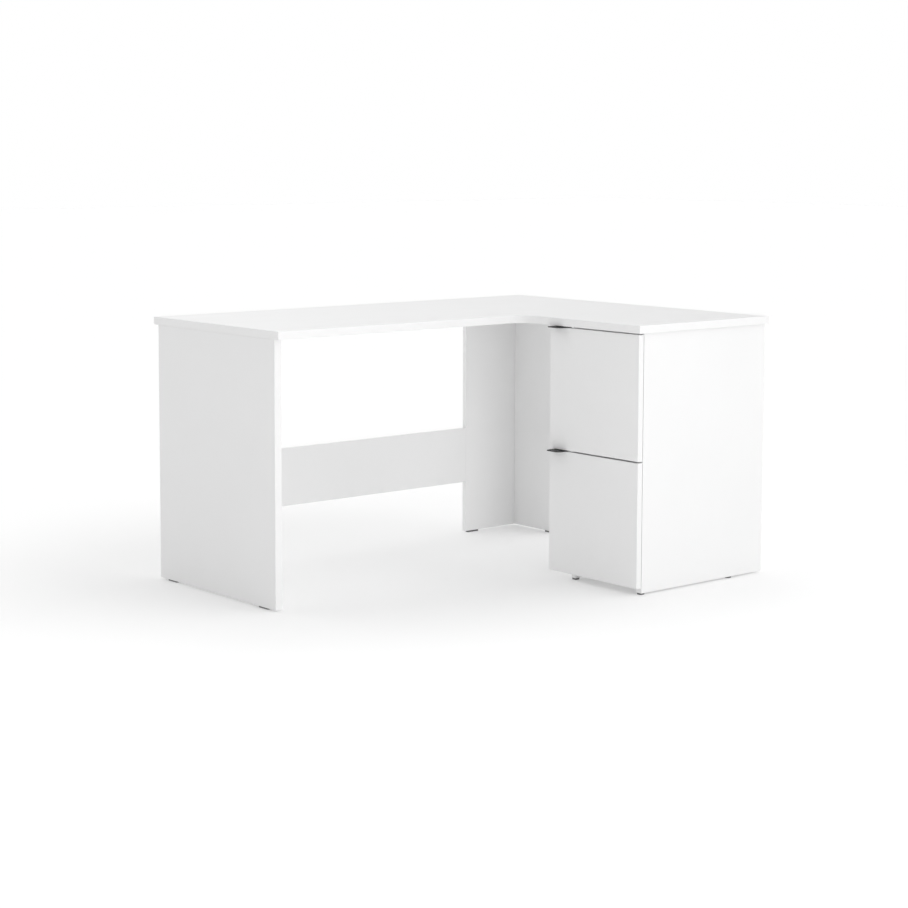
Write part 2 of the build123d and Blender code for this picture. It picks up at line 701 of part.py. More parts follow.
for level, front_bottom in drawers.items():
    box_bottom = front_bottom + box_rise
    front_top = front_bottom + front_height
    groove = (box_bottom + bottom_rise, box_bottom + bottom_rise + thin_panel)
    bottom_y = (box_right_y + box_thickness - groove_depth, box_left_y - box_thickness + groove_depth)
    both_cams = box_cams(box_bottom, "right") + box_cams(box_bottom, "left")
    handle_screws_at = [
        (front_rear_x, y, front_top - handle_drop / 2)
        for y in (handle_right_y + 14, handle_left_y - 14)
    ]

    with BuildPart() as drawer_front:
        board(
            (front_face_x, front_rear_x),
            (end_outer_y, free_end_y),
            (front_bottom, front_top),
        )
        bore_bolts(both_cams)
        block((front_rear_x - groove_depth, front_rear_x), bottom_y, groove, mode=Mode.SUBTRACT)
        bore(handle_screws_at, "-X", handle_screw_radius, handle_screw_length)
    finish(drawer_front.part, f"{level}_drawer_front")

    for side, (face, into) in box_outer.items():
        with BuildPart() as box_side:
            other = moved((0, face, 0), into, box_thickness).Y
            block(
                (front_rear_x, box_rear_x),
                (min(face, other), max(face, other)),
                (box_bottom, box_bottom + box_height),
            )
            block((front_rear_x, box_rear_x), bottom_y, groove, mode=Mode.SUBTRACT)
            bore_cams(box_cams(box_bottom, side))
            screws_in = back_screw_points(box_bottom, side)
            bore(screws_in, into, back_screw_thread[0] + play, box_thickness)
            bore(screws_in, into, back_screw_head[0] + play, back_screw_head[1])
            rail_holes = [(x, face, runner_z(front_bottom)) for x in runner_screw_x]
            bore(rail_holes, into, runner_screw_radius, box_screw_depth)
        finish(box_side.part, f"{level}_drawer_{side}_side")

    with BuildPart() as box_back:
        block(
            (box_rear_x - box_thickness, box_rear_x),
            (box_right_y + box_thickness, box_left_y - box_thickness),
            (groove[1], box_bottom + box_height),
        )
        for side, (face, into) in box_outer.items():
            points = back_screw_points(box_bottom, side)
            bore(points, into, back_screw_thread[0] + play, back_screw_thread[1] + 1)
        bottom_screws_at = [
            (box_rear_x - half_box, y, groove[0]) for y in (bottom_y[0] + 40, bottom_y[1] - 40)
        ]
        bore(bottom_screws_at, "+Z", 1.7, bottom_screw_length + 2)
    finish(box_back.part, f"{level}_drawer_back")

    with BuildPart() as box_bottom_panel:
        block((front_rear_x - groove_depth, box_rear_x), bottom_y, groove)
        bore(bottom_screws_at, "+Z", 1.7, thin_panel)
    finish(box_bottom_panel.part, f"{level}_drawer_bottom")

    with BuildPart() as bottom_screws:
        screws(bottom_screws_at, "+Z", *bottom_screw_head, 1.65, bottom_screw_length)
    finish(bottom_screws.part, f"{level}_drawer_bottom_screws")

    with BuildPart() as box_locks:
        cam_locks(both_cams)
    finish(box_locks.part, f"{level}_drawer_cam_locks")

    with BuildPart() as box_bolts:
        cam_bolts(both_cams)
    finish(box_bolts.part, f"{level}_drawer_cam_bolts")

    with BuildPart() as back_screws:
        for side, (face, into) in box_outer.items():
            points = back_screw_points(box_bottom, side)
            round_bar(points, into, *back_screw_head)
            round_bar(points, into, *back_screw_thread)
            for point in points:
                cross_recess(point, into, 2.2, 0.5, 1.5)
    finish(back_screws.part, f"{level}_drawer_back_screws")

    with BuildPart() as rail_screws:
        for wall, sign, to_wall, to_box in sides.values():
            web = wall + sign * (runner_space - steel)
            seats = [(x, web, runner_z(front_bottom)) for x in runner_screw_x]
            length = box_screw_depth + steel - 0.5
            screws(seats, to_box, *runner_screw_head, runner_screw_radius - play, length)
    finish(rail_screws.part, f"{level}_drawer_rail_screws")

    with BuildPart() as handle:
        block(
            (front_face_x - handle_projection, front_rear_x + handle_plate),
            (handle_right_y, handle_left_y),
            (front_top, front_top + handle_plate),
        )
        lip = handle.faces().sort_by(Axis.X)[0]
        fillet(lip.edges().filter_by(Axis.Z), handle_corner)
        block(
            (front_rear_x, front_rear_x + handle_plate),
            (handle_right_y, handle_left_y),
            (front_top - handle_drop, front_top + handle_plate),
        )
        foot = handle.faces().filter_by(Axis.X).sort_by(Axis.X)[-1]
        fillet(foot.edges().filter_by(Axis.Y).sort_by(Axis.Z)[-1], handle_plate * 0.8)
        bore(handle_screws_at, "+X", handle_screw_radius + play, handle_plate)
    finish(handle.part, f"{level}_drawer_handle")

    with BuildPart() as handle_screws:
        seats = [moved(point, "+X", handle_plate) for point in handle_screws_at]
        length = handle_screw_length + handle_plate - 0.5
        screws(seats, "-X", *handle_screw_head, handle_screw_radius - play, length)
    finish(handle_screws.part, f"{level}_drawer_handle_screws")
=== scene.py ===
"""L-shaped white corner desk: finishes, detailed pieces and a studio around the packed model.

The boards keep their packed meshes and get melamine finishes that know where each board's
edges are.  The worktop, the drawer fronts, the pulls and the ball-bearing runners are
modelled again in finer detail, in the same places.
"""
import math

import bmesh
import bpy
from bpy.props import FloatProperty, FloatVectorProperty, IntProperty, PointerProperty
from mathutils import Euler, Matrix, Vector


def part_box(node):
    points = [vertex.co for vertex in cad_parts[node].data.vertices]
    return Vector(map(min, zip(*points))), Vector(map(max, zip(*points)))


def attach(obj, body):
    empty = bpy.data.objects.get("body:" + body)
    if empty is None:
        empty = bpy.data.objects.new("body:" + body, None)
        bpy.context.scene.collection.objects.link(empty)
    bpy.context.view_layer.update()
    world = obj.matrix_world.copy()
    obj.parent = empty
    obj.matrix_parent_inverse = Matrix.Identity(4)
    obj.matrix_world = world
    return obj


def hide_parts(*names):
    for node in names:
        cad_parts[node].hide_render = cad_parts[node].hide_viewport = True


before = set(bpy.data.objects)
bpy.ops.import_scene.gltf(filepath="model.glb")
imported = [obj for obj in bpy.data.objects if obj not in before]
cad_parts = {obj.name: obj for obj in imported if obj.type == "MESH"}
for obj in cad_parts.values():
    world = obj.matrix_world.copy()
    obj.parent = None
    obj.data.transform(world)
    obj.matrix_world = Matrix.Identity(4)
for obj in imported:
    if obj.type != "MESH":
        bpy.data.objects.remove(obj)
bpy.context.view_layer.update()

bl_info = {
    "name": "Corner Desk",
    "version": (1, 0, 0),
    "blender": (4, 5, 0),
    "location": "3D View > Sidebar > Corner Desk",
    "description": "Builds a white L-shaped corner desk with two drawers and its studio",
    "category": "Add Mesh",
}

LEVELS = ("lower", "upper")
SIDES = ("left", "right")
SHARP_ANGLE = math.radians(35)
AXES = "XYZ"
LIGHT_DISTANCE = 8
DESK_MIDDLE = Vector((0, 0, 0.4))
# Centre of the painted shade and the painted glow on the floor round the desk.
PAINTED_SHADE_CENTRE = (0.0, 0.25, 0.0)

# Lengths in metres: points closer than SAME count as one, an edge shorter than THROUGH_SHEET
# crosses a pull's sheet, and one longer than ALONG_RUNNER runs along a runner.
SAME = 1e-6
THROUGH_SHEET = 0.0025
ALONG_RUNNER = 0.1

# Bump distance of each finish, in metres.
MELAMINE_BUMP = 0.00003
BAND_BUMP = 0.00002
LACQUER_BUMP = 0.00008
PLATING_BUMP = 0.00003
BEECH_BUMP = 0.0001

# Lengths in the Board edges group: below FACE_DEPTH a bore shows chips and not melamine, FACE_BLUR
# softens that change, and a glue line fades over SEAM_REACH to each side.
FACE_DEPTH = 0.001
FACE_BLUR = 0.0001
SEAM_REACH = (0.00004, 0.00022)

# Boards that keep their packed mesh: node, or the end of its name, and axis of the thickness.
PANELS = (
    ("left_side_panel", "X"),
    ("modesty_panel", "Y"),
    ("corner_leg_back", "Y"),
    ("corner_leg_side", "X"),
    ("cabinet_end_panel", "Y"),
    ("cabinet_inner_panel", "Y"),
    ("cabinet_bottom", "Z"),
    ("cabinet_front_rail", "Z"),
    ("cabinet_rear_rail", "Z"),
)
BOX_BOARDS = (("left_side", "Y"), ("right_side", "Y"), ("back", "X"))


# ------------------------------------------------------------------ settings
def length(name, description, default, low=0.0):
    """A length that a user can change."""
    return FloatProperty(
        name=name, description=description, default=default, min=low, precision=5, unit="LENGTH"
    )


def colour(name, description, default):
    """A surface colour that a user can change."""
    return FloatVectorProperty(
        name=name, description=description, default=default, size=3, min=0, max=1, subtype="COLOR"
    )


def share(name, description, default):
    """A number from 0 to 1."""
    return FloatProperty(
        name=name, description=description, default=default, min=0, max=1, subtype="FACTOR"
    )


class DeskFinishes(bpy.types.PropertyGroup):
    """Colours and gloss of the desk's materials"""

    laminate: colour("Laminate", "White melamine of the boards", (0.907, 0.907, 0.907))
    band: colour("Edge band", "Plastic band glued to the boards' edges", (0.912, 0.912, 0.912))
    box: colour("Drawer box", "Foil on the drawer boxes", (0.86, 0.86, 0.855))
    core: colour("Chipboard", "Pressed chips inside a bored board", (0.46, 0.33, 0.2))
    metal: colour("Pulls", "Powder coat on the drawer pulls", (0.008, 0.008, 0.0085))
    plastic: colour("Glides", "Moulded plastic under the panels", (0.16, 0.16, 0.16))
    runner: colour("Runners", "Zinc-plated runner steel", (0.55, 0.56, 0.58))
    screw: colour("Screws", "Zinc-plated screws and bolts", (0.6, 0.6, 0.58))
    zinc: colour("Cam locks", "Cast zinc of the cam locks", (0.42, 0.42, 0.43))
    beech: colour("Dowels", "Beech of the dowels", (0.62, 0.42, 0.24))
    laminate_roughness: share("Laminate roughness", "Gloss of the melamine", 0.42)
    band_roughness: share("Edge band roughness", "Gloss of the edge band", 0.36)


class DeskWorktop(bpy.types.PropertyGroup):
    """Shape of the L-shaped worktop"""

    main_depth: length("Main depth", "Depth of the wing along the back", 0.605)
    return_depth: length("Return depth", "Depth of the wing over the drawers", 0.526)
    corner_radius: length("Inner corner", "Radius where the two wings meet", 0.065)
    corner_steps: IntProperty(name="Corner steps", description="Facets of that radius", default=28)
    band: length("Edge band", "Thickness of the band round the top", 0.002)
    ease: length("Edge rounding", "Radius on the band's outer rims", 0.001)
    seam: length("Seam", "Tiny chamfer each side of the glue line", 0.00018)


class DeskFronts(bpy.types.PropertyGroup):
    """Shape of the drawer fronts"""

    band: length("Edge band", "Thickness of the band round a front", 0.001)
    ease: length("Edge rounding", "Radius on the band's outer rims", 0.0007)
    seam: length("Seam", "Tiny chamfer each side of the glue line", 0.00012)


class DeskPulls(bpy.types.PropertyGroup):
    """Shape of the sheet-metal drawer pulls"""

    sheet: length("Sheet", "Thickness of the metal", 0.002)
    lip_corner: length("Lip corners", "Radius of the lip's two corners", 0.014)
    tongue_corner: length("Tongue corners", "Radius of the hidden tongue's corners", 0.004)
    bend: length("Bend", "Outer radius of the bend over the front", 0.0016)
    ease: length("Edge rounding", "Radius on the metal's edges", 0.0003)


class DeskRunners(bpy.types.PropertyGroup):
    """Shape of the ball-bearing runners"""

    steel: length("Steel", "Thickness of the rolled steel", 0.0012)
    bend: length("Bend", "Radius of the rolled corners", 0.0022)
    lip: length("Lip", "Width of the curl along a flange", 0.0016)
    ball: length("Ball", "Radius of a bearing ball", 0.0018)
    balls: IntProperty(name="Balls", description="Balls in a row", default=14, min=2)
    first_ball: length("First ball", "From the rail's front end to the first ball", 0.02)
    pitch: length("Ball spacing", "From ball to ball along a row", 0.0095)


class DeskStudio(bpy.types.PropertyGroup):
    """Camera, floor and light"""

    camera_place: FloatVectorProperty(
        name="Camera",
        description="Where the camera stands",
        default=(-3.8626, -4.5086, 1.2431),
        size=3,
        subtype="TRANSLATION",
        unit="LENGTH",
    )
    yaw: FloatProperty(
        name="Yaw", description="Camera turned from +Y", default=math.radians(40.167), subtype="ANGLE"
    )
    pitch: FloatProperty(
        name="Pitch", description="Camera tipped down", default=math.radians(5.538), subtype="ANGLE"
    )
    roll: FloatProperty(
        name="Roll", description="Camera leant over", default=math.radians(0.165), subtype="ANGLE"
    )
    lens: FloatProperty(name="Lens", description="Focal length in mm", default=82.77, min=10)
    shift: FloatVectorProperty(
        name="Shift", description="Lens shift", default=(0.0064, -0.12), size=2, subtype="XYZ"
    )
    floor_size: length("Floor", "Width of the floor", 60.0)
    floor_colour: colour("Floor colour", "Pale studio floor", (0.882, 0.882, 0.882))
    # Painted light: the floor glows more round the desk, which lightens the shadows under the panels.
    floor_painted_glow: share("Floor near", "How much the floor glows round the desk", 0.22)
    floor_far: share("Floor far", "How much it glows farther out, as a lit cyclorama does", 0.178)
    # Painted shade: the floor's colour is darker round the desk.
    floor_painted_shade: share("Floor shade", "How light the floor is round the desk", 0.85)
    # Where the painted shade and glow round the desk fade into the even far glow.
    floor_fade: FloatVectorProperty(
        name="Floor fade",
        description="Where the near glow ends and where the far glow starts",
        default=(0.6, 1.6),
        size=2,
        unit="LENGTH",
    )
    ambient: FloatProperty(name="Ambient", description="Even light of the room", default=0.45, min=0)
    soft_box_place: FloatVectorProperty(
        name="Soft box",
        description="Where the near soft box hangs",
        default=(-0.8, -2.6, 1.4),
        size=3,
        subtype="TRANSLATION",
        unit="LENGTH",
    )
    soft_box_size: length("Soft box size", "Width of the near soft box", 1.8)
    soft_box_power: FloatProperty(
        name="Soft box power", description="Power of the near soft box", default=10.0, min=0, unit="POWER"
    )


SETTINGS = {
    "desk_finishes": DeskFinishes,
    "desk_worktop": DeskWorktop,
    "desk_fronts": DeskFronts,
    "desk_pulls": DeskPulls,
    "desk_runners": DeskRunners,
    "desk_studio": DeskStudio,
}

# Far soft lights: name, azimuth from -Y towards +X, elevation, spread (degrees), strength.
FAR_LIGHTS = (
    ("light_front_right", 60, 30, 80, 1.2),
    ("light_behind", 180, 40, 90, 1.12),
    ("light_front", 0, 35, 60, 0.15),
    ("light_above", 30, 60, 60, 0.13),
)


# ------------------------------------------------------------------ node graphs
class Graph:
    """Adds nodes to a node tree and wires them as it goes."""

    def __init__(self, tree):
        self.tree = tree

    def add(self, kind, inputs=None, **settings):
        """A node of a kind, with its settings and with values or links at its inputs."""
        node = self.tree.nodes.new(kind)
        count = len(self.tree.nodes) - 1
        node.location = (220 * (count % 8), -260 * (count // 8))
        for key, value in settings.items():
            setattr(node, key, value)
        for socket, value in (inputs or {}).items():
            self.put(node.inputs[socket], value)
        return node

    def put(self, socket, value):
        """Links a value to a socket, or sets it there."""
        if isinstance(value, bpy.types.NodeSocket):
            self.tree.links.new(value, socket)
        else:
            socket.default_value = value

    def math(self, operation, *values, clamp=False):
        """A Math node's result."""
        node = self.add("ShaderNodeMath", dict(enumerate(values)), operation=operation)
        node.use_clamp = clamp
        return node.outputs[0]

    def vector(self, operation, *values):
        """A Vector Math node's vector."""
        node = self.add("ShaderNodeVectorMath", dict(enumerate(values)), operation=operation)
        return node.outputs["Vector"]

    def mix(self, factor, first, second):
        """A colour between two colours."""
        inputs = {0: factor, 6: first, 7: second}
        return self.add("ShaderNodeMix", inputs, data_type="RGBA").outputs[2]

    def step(self, value, start, end):
        """0 below start, 1 above end, smooth between."""
        inputs = {"Value": value, "From Min": start, "From Max": end}
        node = self.add("ShaderNodeMapRange", inputs, interpolation_type="SMOOTHSTEP")
        return node.outputs["Result"]

    def noise(self, place, scale, detail=2.0, roughness=0.5):
        """Fractal noise from 0 to 1."""
        inputs = {"Vector": place, "Scale": scale, "Detail": detail, "Roughness": roughness}
        return self.add("ShaderNodeTexNoise", inputs).outputs["Fac"]

    def place(self):
        """The surface's own place, in object coordinates."""
        return self.add("ShaderNodeTexCoord").outputs["Object"]

    def scaled(self, place, factors):
        """A place stretched along the three axes."""
        return self.add(
            "ShaderNodeMapping", {"Vector": place, "Scale": factors}, vector_type="POINT"
        ).outputs["Vector"]


def group(name, inputs, outputs, fill):
    """A shader node group, made once and then found by its name."""
    tree = bpy.data.node_groups.get(name)
    if tree is None:
        tree = bpy.data.node_groups.new(name, "ShaderNodeTree")
        for socket, kind, default in inputs:
            made = tree.interface.new_socket(socket, in_out="INPUT", socket_type=kind)
            made.default_value = default
        for socket, kind in outputs:
            tree.interface.new_socket(socket, in_out="OUTPUT", socket_type=kind)
        graph = Graph(tree)
        start = graph.add("NodeGroupInput")
        results = fill(graph, start.outputs)
        graph.add("NodeGroupOutput", results)
    return tree


def use(graph, tree, **values):
    """Places a node group and gives its outputs."""
    node = graph.add("ShaderNodeGroup", node_tree=tree)
    for socket, value in values.items():
        graph.put(node.inputs[socket.replace("_", " ")], value)
    return node.outputs


FLOAT = "NodeSocketFloat"
VECTOR = "NodeSocketVector"
COLOUR = "NodeSocketColor"


def melamine_grain():
    """The fine pearled emboss of melamine, and its slow variation from place to place."""

    def fill(graph, sockets):
        place = graph.place()
        size = sockets["Scale"]
        pearl = graph.noise(place, size, detail=1.5)
        pores = graph.add(
            "ShaderNodeTexVoronoi",
            {"Vector": place, "Scale": graph.math("MULTIPLY", size, 0.55), "Smoothness": 0.6},
            feature="SMOOTH_F1",
        ).outputs["Distance"]
        height = graph.math("ADD", pearl, graph.math("MULTIPLY", pores, 0.45))
        cloud = graph.noise(place, 5.0, detail=3.0, roughness=0.55)
        fleck = graph.step(graph.noise(place, 320.0, detail=1.0), 0.62, 0.78)
        return {"Height": height, "Cloud": cloud, "Fleck": fleck}

    return group(
        "Melamine grain",
        [("Scale", FLOAT, 900.0)],
        [("Height", FLOAT), ("Cloud", FLOAT), ("Fleck", FLOAT)],
        fill,
    )


def board_edges():
    """Where a board's edge band, its glue line and its bored core are, from the board's box."""

    def fill(graph, sockets):
        place = graph.place()
        near = graph.vector("SUBTRACT", place, sockets["Low"])
        far = graph.vector("SUBTRACT", sockets["High"], place)
        gap = graph.add("ShaderNodeSeparateXYZ", {0: graph.vector("MINIMUM", near, far)}).outputs
        away = graph.add("ShaderNodeSeparateXYZ", {0: sockets["Thin axis"]}).outputs
        across = [graph.math("ADD", gap[axis], away[axis]) for axis in AXES]
        edge = graph.math("MINIMUM", graph.math("MINIMUM", *across[:2]), across[2])
        depth = graph.math("MINIMUM", graph.math("MINIMUM", gap["X"], gap["Y"]), gap["Z"])
        band = sockets["Band"]
        off_line = graph.math("ABSOLUTE", graph.math("SUBTRACT", edge, band))
        seam = graph.math("SUBTRACT", 1.0, graph.step(off_line, *SEAM_REACH))
        past_band = graph.math("SUBTRACT", edge, band)
        on_band = graph.math("SUBTRACT", 1.0, graph.step(past_band, 0, FACE_BLUR))
        core = graph.step(depth, FACE_DEPTH - FACE_BLUR, FACE_DEPTH + FACE_BLUR)
        return {"Seam": seam, "Edge band": on_band, "Core": core}

    return group(
        "Board edges",
        [
            ("Low", VECTOR, (0, 0, 0)),
            ("High", VECTOR, (1, 1, 1)),
            ("Thin axis", VECTOR, (0, 0, 0)),
            ("Band", FLOAT, 0.001),
        ],
        [("Seam", FLOAT), ("Edge band", FLOAT), ("Core", FLOAT)],
        fill,
    )


def pressed_chips():
    """Chips of wood pressed into a board, seen where a hole cuts through them."""

    def fill(graph, sockets):
        place = graph.scaled(graph.place(), (1.0, 1.0, 2.2))
        cells = graph.add("ShaderNodeTexVoronoi", {"Vector": place, "Scale": 420.0})
        shade = graph.add("ShaderNodeSeparateColor", {0: cells.outputs["Color"]}).outputs[0]
        strand = graph.noise(place, 1500.0, detail=2.0)
        tone = graph.math("ADD", graph.math("MULTIPLY", shade, 0.6), graph.math("MULTIPLY", strand, 0.4))
        dark = graph.vector("MULTIPLY", sockets["Wood"], (0.55, 0.52, 0.48))
        light = graph.vector("MULTIPLY", sockets["Wood"], (1.35, 1.33, 1.28))
        return {"Colour": graph.mix(tone, dark, light), "Height": tone}

    return group(
        "Pressed chips",
        [("Wood", COLOUR, (0.46, 0.33, 0.2, 1))],
        [("Colour", COLOUR), ("Height", FLOAT)],
        fill,
    )


def drawn_streaks():
    """Fine streaks along a strip that was rolled, drawn or extruded, from its length's axis."""

    def fill(graph, sockets):
        stretch = graph.vector("MULTIPLY", graph.place(), sockets["Stretch"])
        fine = graph.noise(stretch, 1.0, detail=3.0, roughness=0.65)
        broad = graph.noise(graph.vector("MULTIPLY", stretch, (0.25,) * 3), 1.0, detail=1.0)
        return {"Streak": fine, "Sheen": broad}

    return group(
        "Drawn streaks",
        [("Stretch", VECTOR, (20, 1500, 1500))],
        [("Streak", FLOAT), ("Sheen", FLOAT)],
        fill,
    )


def fine_grit():
    """Small even bumps, as on powder coat, cast zinc and moulded plastic."""

    def fill(graph, sockets):
        place = graph.place()
        bumps = graph.noise(place, sockets["Scale"], detail=2.0, roughness=0.6)
        blotch = graph.noise(place, 60.0, detail=2.0)
        speck = graph.step(bumps, 0.55, 0.75)
        return {"Height": bumps, "Blotch": blotch, "Speck": speck}

    return group(
        "Fine grit",
        [("Scale", FLOAT, 2200.0)],
        [("Height", FLOAT), ("Blotch", FLOAT), ("Speck", FLOAT)],
        fill,
    )


def touch_marks():
    """Faint wiped smears that change the gloss of surfaces people touch."""

    def fill(graph, sockets):
        place = graph.place()
        wander = graph.add("ShaderNodeTexNoise", {"Vector": place, "Scale": 3.0}).outputs["Color"]
        bent = graph.vector("ADD", place, graph.vector("MULTIPLY", wander, (0.06, 0.06, 0.06)))
        swipe = graph.noise(graph.scaled(bent, (3.0, 9.0, 9.0)), 2.0, detail=4.0, roughness=0.6)
        dust = graph.step(graph.noise(place, 1400.0, detail=0.0), 0.7, 0.78)
        return {"Smear": graph.step(swipe, 0.35, 0.75), "Dust": dust}

    return group("Touch marks", [], [("Smear", FLOAT), ("Dust", FLOAT)], fill)


# ------------------------------------------------------------------ materials
def solid(rgb, factor=1.0):
    """An RGBA colour from three numbers, made lighter or darker."""
    return tuple(min(1.0, part * factor) for part in rgb) + (1.0,)


def principled(name, roughness, metallic=0.0, specular=0.5):
    """A new material with its graph and its shader."""
    material = bpy.data.materials.new(name)
    material.use_nodes = True
    material.node_tree.nodes.clear()
    graph = Graph(material.node_tree)
    constants = {
        "Roughness": roughness,
        "Metallic": metallic,
        "Specular IOR Level": specular,
    }
    shader = graph.add("ShaderNodeBsdfPrincipled", constants)
    graph.add("ShaderNodeOutputMaterial", {"Surface": shader.outputs["BSDF"]})
    return material, graph, shader.inputs


def bumped(graph, height, distance, strength=1.0):
    """A normal from a height."""
    inputs = {"Height": height, "Distance": distance, "Strength": strength}
    return graph.add("ShaderNodeBump", inputs).outputs["Normal"]


def gloss(graph, low, high, factor):
    """A roughness between two values."""
    inputs = {"Value": factor, "To Min": low, "To Max": high}
    return graph.add("ShaderNodeMapRange", inputs).outputs["Result"]


def board_material(name, node, thin_axis, rgb, band=0.001):
    """White melamine on one board, with its edge band, glue line and bored core."""
    finishes = bpy.context.scene.desk_finishes
    low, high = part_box(node)
    material, graph, shader = principled(name, finishes.laminate_roughness)
    away = tuple(10.0 if axis == thin_axis else 0.0 for axis in AXES)
    edges = use(graph, board_edges(), Low=low, High=high, Thin_axis=away, Band=band)
    grain = use(graph, melamine_grain())
    marks = use(graph, touch_marks())
    chips = use(graph, pressed_chips(), Wood=solid(finishes.core))
    surface = graph.mix(grain["Cloud"], solid(rgb, 0.985), solid(rgb, 1.015))
    surface = graph.mix(graph.math("MULTIPLY", marks["Dust"], 0.12), surface, solid(rgb, 0.9))
    surface = graph.mix(edges["Edge band"], surface, solid(finishes.band))
    surface = graph.mix(graph.math("MULTIPLY", edges["Seam"], 0.3), surface, solid(rgb, 0.6))
    graph.put(shader["Base Color"], graph.mix(edges["Core"], surface, chips["Colour"]))
    rough = finishes.laminate_roughness
    face = gloss(graph, rough - 0.05, rough + 0.06, marks["Smear"])
    rim = graph.math("MULTIPLY", edges["Edge band"], rough - finishes.band_roughness)
    face = graph.math("SUBTRACT", face, rim)
    graph.put(shader["Roughness"], graph.math("MAXIMUM", face, edges["Core"]))
    rough_chips = graph.math("MULTIPLY", chips["Height"], edges["Core"])
    height = graph.math("SUBTRACT", grain["Height"], graph.math("MULTIPLY", edges["Seam"], 3.0))
    height = graph.math("ADD", height, graph.math("MULTIPLY", rough_chips, 8.0))
    graph.put(shader["Normal"], bumped(graph, height, MELAMINE_BUMP, 0.6))
    return material


def laminate_material(name, rgb):
    """White melamine on a board whose edge band is a piece of its own."""
    finishes = bpy.context.scene.desk_finishes
    rough = finishes.laminate_roughness
    material, graph, shader = principled(name, rough)
    grain = use(graph, melamine_grain())
    marks = use(graph, touch_marks())
    surface = graph.mix(grain["Cloud"], solid(rgb, 0.985), solid(rgb, 1.015))
    surface = graph.mix(graph.math("MULTIPLY", marks["Dust"], 0.12), surface, solid(rgb, 0.9))
    graph.put(shader["Base Color"], surface)
    graph.put(shader["Roughness"], gloss(graph, rough - 0.05, rough + 0.06, marks["Smear"]))
    graph.put(shader["Normal"], bumped(graph, grain["Height"], MELAMINE_BUMP, 0.6))
    return material


def band_material(name, stretch):
    """Extruded plastic edge band, with faint trimming streaks along it."""
    finishes = bpy.context.scene.desk_finishes
    rough = finishes.band_roughness
    material, graph, shader = principled(name, rough)
    streaks = use(graph, drawn_streaks(), Stretch=stretch)
    marks = use(graph, touch_marks())
    tone = graph.mix(streaks["Sheen"], solid(finishes.band, 0.992), solid(finishes.band, 1.004))
    graph.put(shader["Base Color"], tone)
    graph.put(shader["Roughness"], gloss(graph, rough - 0.02, rough + 0.04, marks["Smear"]))
    graph.put(shader["Normal"], bumped(graph, streaks["Streak"], BAND_BUMP, 0.5))
    return material


def thin_board_material():
    """Lacquered white fibreboard of the cabinet's back and the drawers' bottoms."""
    finishes = bpy.context.scene.desk_finishes
    material, graph, shader = principled("thin_white_board", 0.5)
    grain = use(graph, melamine_grain(), Scale=420.0)
    marks = use(graph, touch_marks())
    tone = graph.mix(grain["Cloud"], solid(finishes.box, 0.97), solid(finishes.box, 1.01))
    flecks = graph.math("MULTIPLY", grain["Fleck"], 0.1)
    graph.put(shader["Base Color"], graph.mix(flecks, tone, solid(finishes.box, 0.85)))
    graph.put(shader["Roughness"], gloss(graph, 0.42, 0.6, marks["Smear"]))
    graph.put(shader["Normal"], bumped(graph, grain["Height"], LACQUER_BUMP, 0.6))
    return material


def grit_material(name, rgb, roughness, scale, distance, metallic=0.0):
    """Powder coat, cast zinc or moulded plastic."""
    material, graph, shader = principled(name, roughness, metallic)
    grit = use(graph, fine_grit(), Scale=scale)
    marks = use(graph, touch_marks())
    tone = graph.mix(grit["Blotch"], solid(rgb, 0.85), solid(rgb, 1.2))
    specks = graph.math("MULTIPLY", grit["Speck"], 0.25)
    graph.put(shader["Base Color"], graph.mix(specks, tone, solid(rgb, 1.8)))
    graph.put(shader["Roughness"], gloss(graph, roughness - 0.06, roughness + 0.1, marks["Smear"]))
    graph.put(shader["Normal"], bumped(graph, grit["Height"], distance, 0.7))
    return material


def plated_material(name, rgb, roughness, stretch):
    """Zinc-plated steel, streaked along its length."""
    material, graph, shader = principled(name, roughness, metallic=1.0)
    streaks = use(graph, drawn_streaks(), Stretch=stretch)
    grit = use(graph, fine_grit(), Scale=900.0)
    tone = graph.mix(streaks["Sheen"], solid(rgb, 0.82), solid(rgb, 1.12))
    blotches = graph.math("MULTIPLY", grit["Blotch"], 0.3)
    graph.put(shader["Base Color"], graph.mix(blotches, tone, solid(rgb, 0.8)))
    graph.put(shader["Roughness"], gloss(graph, roughness - 0.08, roughness + 0.12, grit["Blotch"]))
    graph.put(shader["Normal"], bumped(graph, streaks["Streak"], PLATING_BUMP, 0.5))
    return material


def beech_material():
    """Turned beech with short flecks along the grain."""
    finishes = bpy.context.scene.desk_finishes
    material, graph, shader = principled("beech_dowel", 0.6)
    streaks = use(graph, drawn_streaks(), Stretch=(900, 900, 60))
    chips = use(graph, pressed_chips(), Wood=solid(finishes.beech))
    tone = graph.mix(streaks["Streak"], solid(finishes.beech, 0.8), solid(finishes.beech, 1.15))
    graph.put(shader["Base Color"], graph.mix(0.15, tone, chips["Colour"]))
    graph.put(shader["Roughness"], gloss(graph, 0.5, 0.7, streaks["Sheen"]))
    graph.put(shader["Normal"], bumped(graph, streaks["Streak"], BEECH_BUMP, 0.6))
    return material


def finish_node(node, material):
    """Puts a material on a packed node."""
    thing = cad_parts[node]
    thing.data.materials.clear()
    thing.data.materials.append(material)


# ------------------------------------------------------------------ mesh helpers
def piece(name, bm, material, body, nodes):
    """Turns a bmesh into a piece that rides on a body and stands for packed nodes."""
    bmesh.ops.remove_doubles(bm, verts=bm.verts[:], dist=SAME)
    bmesh.ops.recalc_face_normals(bm, faces=bm.faces[:])
    mesh = bpy.data.meshes.new(name)
    bm.to_mesh(mesh)
    bm.free()
    mesh.materials.append(material)
    mesh.shade_smooth()
    mesh.set_sharp_from_angle(angle=SHARP_ANGLE)
    made = bpy.data.objects.new(name, mesh)
    bpy.context.scene.collection.objects.link(made)
    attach(made, body)
    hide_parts(*nodes)
    return made


